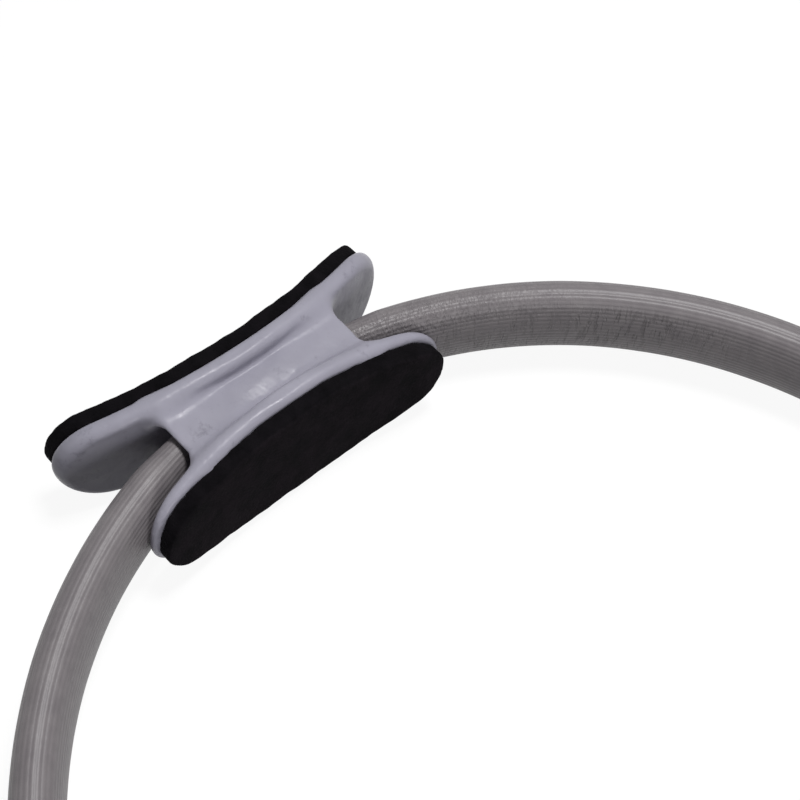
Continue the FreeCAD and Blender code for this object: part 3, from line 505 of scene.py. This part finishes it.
def sleeve_tree():
    """A ribbed oval swept along an arc of the hoop, with a bore for the strip and marks where it creases."""
    tree = bpy.data.node_groups.new("ribbed_sleeve", "GeometryNodeTree")
    sizes = [
        ("Hoop radius", "Float"), ("Start angle", "Float"), ("Sweep", "Float"), ("Steps", "Int"),
        ("Section", "Object"), ("Bore", "Object"), ("Ribs", "Int"), ("Points per rib", "Int"),
        ("Rib depth", "Float"), ("Neck start", "Float"), ("Neck end", "Float"), ("Neck depth", "Float"),
        ("Slack middle", "Float"), ("Slack reach", "Float"),
        ("Marks middle", "Float"), ("Marks reach", "Float"),
        ("Unevenness", "Float"), ("Patches per metre", "Float"), ("Seed", "Float"), ("Material", "Material"),
    ]
    for name, kind in sizes:
        tree.interface.new_socket(name=name, in_out="INPUT", socket_type=f"NodeSocket{kind}")
    tree.interface.new_socket(name="Geometry", in_out="OUTPUT", socket_type="NodeSocketGeometry")
    given = add(tree, "NodeGroupInput").outputs
    spline = add(tree, "GeometryNodeSplineParameter").outputs
    arc = add(
        tree, "GeometryNodeCurveArc",
        {"Resolution": given["Steps"], "Radius": given["Hoop radius"], "Start Angle": given["Start angle"],
         "Sweep Angle": given["Sweep"]},
    )
    path = add(tree, "GeometryNodeSetCurveNormal", {"Curve": arc}, mode="Z_UP")
    path = add(
        tree, "GeometryNodeStoreNamedAttribute",
        {"Geometry": path, "Name": "along", "Value": spline["Length"]}, data_type="FLOAT",
    )

    # ribs stand round the section, with their crests on its outline
    section = add(tree, "GeometryNodeObjectInfo", {"Object": given["Section"]}).outputs["Geometry"]
    points = add(tree, "ShaderNodeMath", {0: given["Ribs"], 1: given["Points per rib"]}, operation="MULTIPLY")
    section = add(tree, "GeometryNodeResampleCurve", {"Curve": section, "Count": points}, mode="COUNT")
    half_turns = add(tree, "ShaderNodeMath", {0: given["Ribs"], 1: math.pi}, operation="MULTIPLY")
    half_turns = add(tree, "ShaderNodeMath", {0: spline["Factor"], 1: half_turns}, operation="MULTIPLY")
    wave = add(tree, "ShaderNodeMath", {0: half_turns}, operation="SINE")
    crest = add(tree, "ShaderNodeMath", {0: wave}, operation="ABSOLUTE")
    for name, value in (("crest", crest), ("around", spline["Length"])):
        section = add(
            tree, "GeometryNodeStoreNamedAttribute", {"Geometry": section, "Name": name, "Value": value},
            data_type="FLOAT",
        )
    tangent = add(tree, "GeometryNodeInputTangent")
    outwards = add(tree, "ShaderNodeVectorMath", {0: tangent, 1: (0.0, 0.0, 1.0)}, operation="CROSS_PRODUCT")
    below = add(tree, "ShaderNodeMath", {0: crest, 1: 1.0}, operation="SUBTRACT")
    below = add(tree, "ShaderNodeMath", {0: below, 1: given["Rib depth"]}, operation="MULTIPLY")
    offset = add(tree, "ShaderNodeVectorMath", {0: outwards, "Scale": below}, operation="SCALE")
    section = add(tree, "GeometryNodeSetPosition", {"Geometry": section, "Offset": offset})
    skin = add(tree, "GeometryNodeCurveToMesh", {"Curve": path, "Profile Curve": section})

    # patches where the foam is slack and creases, on its inner side, and a stretched corner above them; they
    # go by the place in the ring, so that two stretches of a side agree where they meet
    along, around = (
        add(tree, "GeometryNodeInputNamedAttribute", {"Name": name}, data_type="FLOAT")
        for name in ("along", "around")
    )
    patches = add(
        tree, "ShaderNodeTexNoise",
        {"Vector": add(tree, "GeometryNodeInputPosition"), "W": given["Seed"],
         "Scale": given["Patches per metre"], "Detail": 2.0},
        noise_dimensions="4D",
    )
    near = []
    for place, middle, full, reach in (
        (along, given["Slack middle"], 0.0, given["Slack reach"]),
        (around, INNER_SIDE * MM, INNER_SIDE_FULL * MM, INNER_SIDE_REACH * MM),
        (along, given["Marks middle"], 0.0, given["Marks reach"]),
        (around, UPPER_CORNER * MM, UPPER_CORNER_FULL * MM, UPPER_CORNER_REACH * MM),
    ):
        away = add(tree, "ShaderNodeMath", {0: place, 1: middle}, operation="SUBTRACT")
        away = add(tree, "ShaderNodeMath", {0: away}, operation="ABSOLUTE")
        near.append(add(
            tree, "ShaderNodeMapRange",
            {"Value": away, "From Min": full, "From Max": reach, "To Min": 1.0, "To Max": 0.0},
            interpolation_type="SMOOTHSTEP",
        ))
    slack = add(tree, "ShaderNodeMapRange", {"Value": patches, "From Min": 0.36, "From Max": 0.54})
    slack = add(tree, "ShaderNodeMath", {0: slack, 1: near[0]}, operation="MULTIPLY")
    slack = add(tree, "ShaderNodeMath", {0: slack, 1: near[1]}, operation="MULTIPLY")
    stretched = add(tree, "ShaderNodeMath", {0: near[2], 1: near[3]}, operation="MULTIPLY")
    for name, value in (("slack", slack), ("stretched", stretched)):
        skin = add(
            tree, "GeometryNodeStoreNamedAttribute", {"Geometry": skin, "Name": name, "Value": value},
            data_type="FLOAT",
        )

    # the sleeve narrows a little into the mouth, and its skin is never quite even
    neck = add(
        tree, "ShaderNodeMapRange",
        {"Value": along, "From Min": given["Neck start"], "From Max": given["Neck end"],
         "To Min": 1.0, "To Max": 0.0},
        interpolation_type="SMOOTHSTEP",
    )
    neck = add(tree, "ShaderNodeMath", {0: neck, 1: given["Neck depth"]}, operation="MULTIPLY")
    depth = add(
        tree, "ShaderNodeMath", {0: patches, 1: given["Unevenness"], 2: neck}, operation="MULTIPLY_ADD"
    )
    inwards = add(tree, "ShaderNodeMath", {0: depth, 1: -1.0}, operation="MULTIPLY")
    facing = add(tree, "GeometryNodeInputNormal")
    dent = add(tree, "ShaderNodeVectorMath", {0: facing, "Scale": inwards}, operation="SCALE")
    skin = add(tree, "GeometryNodeSetPosition", {"Geometry": skin, "Offset": dent})

    bore = add(tree, "GeometryNodeObjectInfo", {"Object": given["Bore"]}).outputs["Geometry"]
    bore = add(tree, "GeometryNodeCurveToMesh", {"Curve": path, "Profile Curve": bore})
    bore = add(tree, "GeometryNodeFlipFaces", {"Mesh": bore})
    sleeve = add(tree, "GeometryNodeJoinGeometry", {"Geometry": skin})
    tree.links.new(bore.outputs["Mesh"], sleeve.inputs["Geometry"])
    sleeve = add(tree, "GeometryNodeSetShadeSmooth", {"Geometry": sleeve})
    sleeve = add(tree, "GeometryNodeRealizeInstances", {"Geometry": sleeve})
    sleeve = add(tree, "GeometryNodeSetMaterial", {"Geometry": sleeve, "Material": given["Material"]})
    add(tree, "NodeGroupOutput", {"Geometry": sleeve})
    return tree


def section_curve(name, half_height, half_width, end_radius, points):
    """A closed oval of the sleeve's section: its first axis is out, and its second points down once swept."""
    centre = half_height - end_radius
    side_radius = (half_width**2 + centre**2 - end_radius**2) / (2 * (half_width - end_radius))
    side_centre = side_radius - half_width
    turn = math.atan2(centre, side_centre)
    arcs = [
        (-side_centre, 0.0, side_radius, -turn, turn),
        (0.0, centre, end_radius, turn, math.pi - turn),
        (side_centre, 0.0, side_radius, math.pi - turn, math.pi + turn),
        (0.0, -centre, end_radius, math.pi + turn, 2 * math.pi - turn),
    ]
    data = bpy.data.curves.new(name, "CURVE")
    spline = data.splines.new("POLY")
    spline.points.add(4 * points - 1)
    spline.use_cyclic_u = True
    for index in range(4 * points):
        x, y, radius, start, end = arcs[index // points]
        angle = start + (end - start) * (index % points) / points
        x, y = x + radius * math.cos(angle), y + radius * math.sin(angle)
        spline.points[index].co = (x * MM, y * MM, 0, 1)
    obj = bpy.data.objects.new(name, data)
    bpy.context.scene.collection.objects.link(obj)
    return obj


def close_ends(mesh):
    """Joins the sleeve's skin to its bore at both ends."""
    work = bmesh.new()
    work.from_mesh(mesh)
    loose = [e for e in work.edges if e.is_boundary]
    middle = sum((v.co for v in work.verts), Vector()) / len(work.verts)
    cross = Vector((-middle.y, middle.x, 0))
    for side in (-1, 1):
        ring = [e for e in loose if (e.verts[0].co - middle).dot(cross) * side > 0]
        for edge in ring:
            edge.smooth = False
        bmesh.ops.triangle_fill(work, edges=ring, use_beauty=True)
    bmesh.ops.recalc_face_normals(work, faces=work.faces)
    if work.calc_volume(signed=True) < 0:
        bmesh.ops.reverse_faces(work, faces=work.faces)
    work.to_mesh(mesh)
    work.free()


def sleeves():
    """Four stretches of sleeve. Each runs over one hinge line of the hoop and into a handle's mouth."""
    tree = sleeve_tree()
    section = section_curve(
        "sleeve_section", SLEEVE_HALF_HEIGHT, SLEEVE_HALF_WIDTH, SLEEVE_END_RADIUS, SECTION_POINTS
    )
    bore = section_curve("sleeve_bore", BORE_HALF_HEIGHT, BORE_HALF_WIDTH, BORE_END_RADIUS, BORE_POINTS)
    start = MOUTH_ANGLE - SLEEVE_OVERRUN / RING_RADIUS
    lap = SLEEVE_LAP / RING_RADIUS
    sweep = math.pi / 2 + lap - start
    link = (math.pi - 2 * MOUTH_ANGLE) / 3
    near, far = MOUTH_ANGLE + link / 2, math.pi - MOUTH_ANGLE - link / 2
    # side, handle, start, whether the mouth comes last, then the middle and reach of the slack part and of
    # the fine marks along the stretch, and where its bend starts and ends
    stretches = [
        ("left", "a", start, False, (170.0, 60.0), (225.0, 40.0), (near, math.pi / 2)),
        ("left", "b", math.pi / 2 - lap, True, (120.0, 70.0), (180.0, 70.0), (math.pi / 2, far)),
        ("right", "b", math.pi + start, False, (90.0, 60.0), (60.0, 70.0), (-math.pi / 2, -far)),
        ("right", "a", 1.5 * math.pi - lap, True, (150.0, 140.0), (215.0, 90.0), (-near, -math.pi / 2)),
    ]
    holder = bpy.data.meshes.new("sleeve_start")
    for side, end, angle, mouth_last, slack, marks, bend in stretches:
        name = f"foam_sleeve_{side}_{end}"
        neck = (SLEEVE_OVERRUN, SLEEVE_OVERRUN + NECK_LENGTH)
        if mouth_last:
            neck = tuple(sweep * RING_RADIUS - reach for reach in neck)
        maker = bpy.data.objects.new(f"{name}_maker", holder)
        bpy.context.scene.collection.objects.link(maker)
        modifier = maker.modifiers.new("sleeve", "NODES")
        modifier.node_group = tree
        values = {
            "Hoop radius": RING_RADIUS * MM, "Start angle": angle, "Sweep": sweep, "Steps": SLEEVE_STEPS,
            "Section": section, "Bore": bore,
            "Ribs": RIBS, "Points per rib": POINTS_PER_RIB, "Rib depth": RIB_DEPTH * MM,
            "Neck start": neck[0] * MM, "Neck end": neck[1] * MM, "Neck depth": NECK_DEPTH * MM,
            "Slack middle": slack[0] * MM, "Slack reach": slack[1] * MM,
            "Marks middle": marks[0] * MM, "Marks reach": marks[1] * MM,
            "Unevenness": UNEVENNESS * MM, "Patches per metre": per_metre(PATCH_SIZE), "Seed": PATCH_SEED,
            "Material": SLEEVE_FOAM,
        }
        for socket in tree.interface.items_tree:
            if socket.in_out == "INPUT":
                modifier[socket.identifier] = values[socket.name]
        bpy.context.view_layer.update()
        graph = bpy.context.evaluated_depsgraph_get()
        mesh = bpy.data.meshes.new_from_object(maker.evaluated_get(graph), depsgraph=graph)
        mesh.name = name
        bpy.data.objects.remove(maker)
        close_ends(mesh)
        sleeve = bpy.data.objects.new(name, mesh)
        bpy.context.scene.collection.objects.link(sleeve)
        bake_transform(sleeve)
        hidden = (1, 2) if end == "a" else (3,)
        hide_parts(*[f"sleeve_{side}_{k}" for k in hidden])
    for curve in (section, bore):
        bpy.data.objects.remove(curve)


handles()
sleeves()

# Strips, splice plates, rivets and screws keep their CAD shape
for name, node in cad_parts.items():
    finish = None
    if name.startswith("strip"):
        finish = GLASS_FIBRE
    elif name.startswith(("splice", "shell_screws")):
        finish = STEEL
    if finish:
        node.data.materials.clear()
        node.data.materials.append(finish)


# Floor, light and camera

def seen(tree):
    """1 for rays that show the white room, straight, in a shine or through glass, and 0 for the others."""
    rays = add(tree, "ShaderNodeLightPath").outputs
    shown = add(
        tree, "ShaderNodeMath", {0: rays["Is Camera Ray"], 1: rays["Is Glossy Ray"]}, operation="MAXIMUM"
    )
    return add(tree, "ShaderNodeMath", {0: shown, 1: rays["Is Transmission Ray"]}, operation="MAXIMUM")


def studio():
    """A white floor that takes a faint shadow, in an even white room that gives little light."""
    material, tree = new_material("white_floor")
    paint = add(tree, "ShaderNodeBsdfDiffuse", {"Color": srgb("626262")})
    glow = add(tree, "ShaderNodeEmission", {"Color": srgb("FFFFFF"), "Strength": FLOOR_GLOW})
    lit = add(tree, "ShaderNodeAddShader", {0: paint, 1: glow})
    mixed = add(tree, "ShaderNodeMixShader", {0: seen(tree), 1: paint, 2: lit})
    add(tree, "ShaderNodeOutputMaterial", {"Surface": mixed})
    mesh = bpy.data.meshes.new("floor")
    side, level = FLOOR_HALF_SIDE, -REST_HALF_HEIGHT * MM
    corners = [(-side, -side, level), (side, -side, level), (side, side, level), (-side, side, level)]
    mesh.from_pydata(corners, [], [(0, 1, 2, 3)])
    mesh.materials.append(material)
    floor = bpy.data.objects.new("floor", mesh)
    bpy.context.scene.collection.objects.link(floor)

    world = bpy.data.worlds.new("white_room")
    bpy.context.scene.world = world
    world.use_nodes = True
    tree = world.node_tree
    tree.nodes.clear()
    level = add(tree, "ShaderNodeMapRange", {"Value": seen(tree), "To Min": AMBIENT, "To Max": 1.0})
    room = add(tree, "ShaderNodeBackground", {"Color": srgb("FFFFFF"), "Strength": level})
    add(tree, "ShaderNodeOutputWorld", {"Surface": room})


def from_photo(x, y, z):
    """A place given in the photograph's axes, in the ring's own."""
    return Matrix.Rotation(-PHOTO_TURN, 3, "Z") @ Vector((x, y, z))


def lamp(name, place, size, power):
    """A round soft lamp at a place in the photograph's axes, aimed at the handle."""
    data = bpy.data.lights.new(name, "AREA")
    data.shape = "DISK"
    data.size = size
    data.energy = power
    obj = bpy.data.objects.new(name, data)
    obj.location = from_photo(*place)
    obj.rotation_euler = (from_photo(*LAMP_AIM) - obj.location).to_track_quat("-Z", "Y").to_euler()
    bpy.context.scene.collection.objects.link(obj)


def camera():
    """The photograph's view, fitted to the outlines of hoop and handle, with the focal length in pixels."""
    elevation, roll, distance, focal = math.radians(54.75), math.radians(3.99), 0.54964, 1487.1
    aim = Vector((-0.07542, 0.13304, 0.0))
    forward = Vector((0, math.cos(elevation), -math.sin(elevation)))
    right = Vector((1, 0, 0))
    up = right.cross(forward)
    across = math.cos(roll) * right + math.sin(roll) * up
    upright = math.cos(roll) * up - math.sin(roll) * right
    turn = Matrix.Rotation(-PHOTO_TURN, 3, "Z")
    axes = turn @ Matrix((across, upright, -forward)).transposed()
    data = bpy.data.cameras.new("camera")
    data.sensor_width = 36.0
    data.lens = focal / PHOTO_WIDTH * data.sensor_width
    data.clip_start = 0.01
    obj = bpy.data.objects.new("camera", data)
    obj.matrix_world = Matrix.Translation(turn @ (aim - forward * distance)) @ axes.to_4x4()
    bpy.context.scene.collection.objects.link(obj)
    bpy.context.scene.camera = obj


studio()
lamp("overhead", (0.02, 0.23, 0.8), 0.24, 5.15)
lamp("right_fill", (0.9, 0.0, 0.45), 0.4, 0.3)
lamp("left_fill", (-0.9, -0.35, 0.5), 0.4, 0.9)
lamp("front_low", (0.35, -0.6, 0.25), 0.4, 2.0)
camera()
bpy.context.scene.view_settings.view_transform = "Standard"
